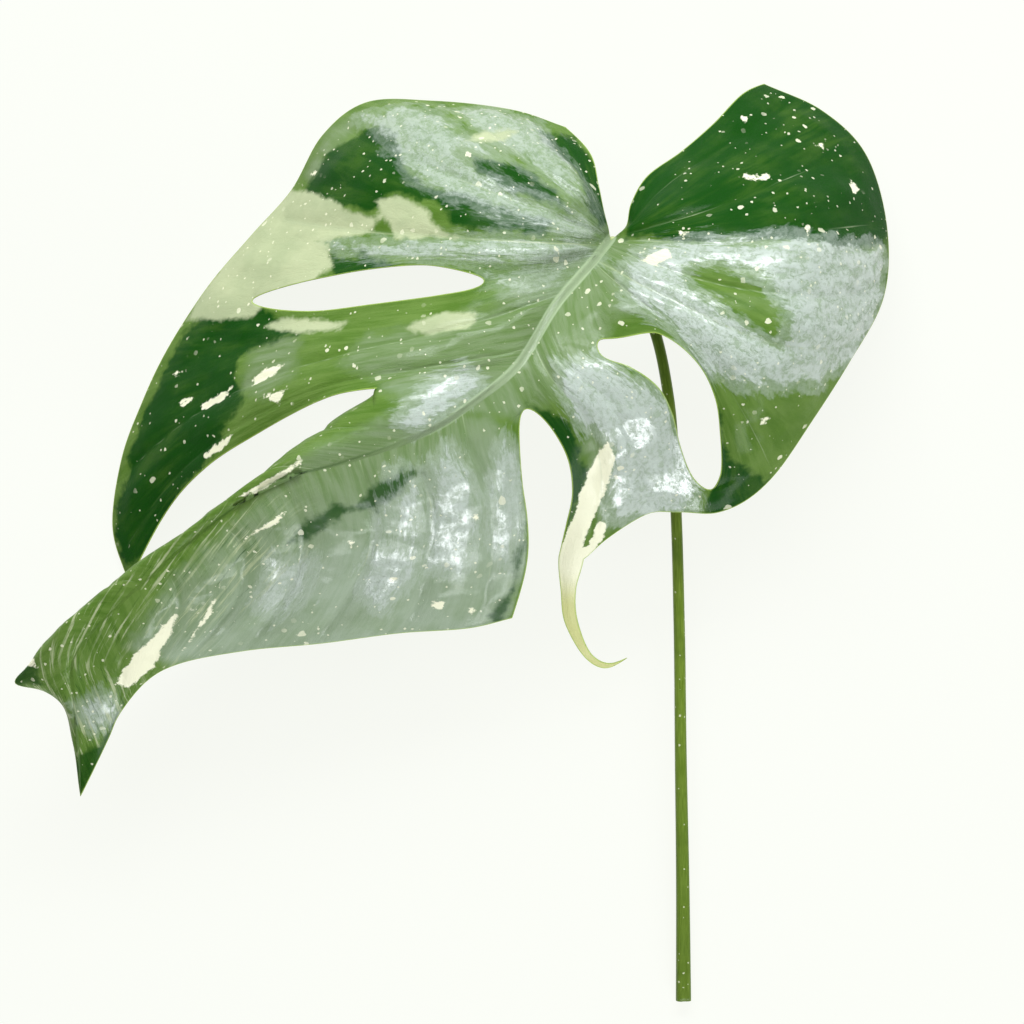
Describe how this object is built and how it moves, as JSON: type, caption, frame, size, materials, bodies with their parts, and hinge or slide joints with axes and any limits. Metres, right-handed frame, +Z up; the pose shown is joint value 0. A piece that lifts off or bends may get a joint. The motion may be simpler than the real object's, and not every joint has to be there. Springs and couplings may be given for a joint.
{
  "type": "monstera leaf",
  "caption": "Variegated split monstera leaf with window holes, slits and a curled drip tip, cut with its stalk and laid face up, for planting and arrangement scenes.",
  "frame": {"origin": "on the surface that the leaf lies on, under the middle of its bounding box", "axes": "+Z up, away from the surface; +Y from the cut end of the stalk towards the basal lobes; +X towards the lobe beside the stalk, so the drip tip points to -X"},
  "size_m": [0.3554, 0.3854, 0.1007],
  "materials": {
    "blade": "waxy, variegated green and cream",
    "stalk": "smooth, waxy green"
  },
  "bodies": {
    "root": {"leaf_blade": "blade", "leaf_stalk": "stalk"}
  },
  "joints": []
}
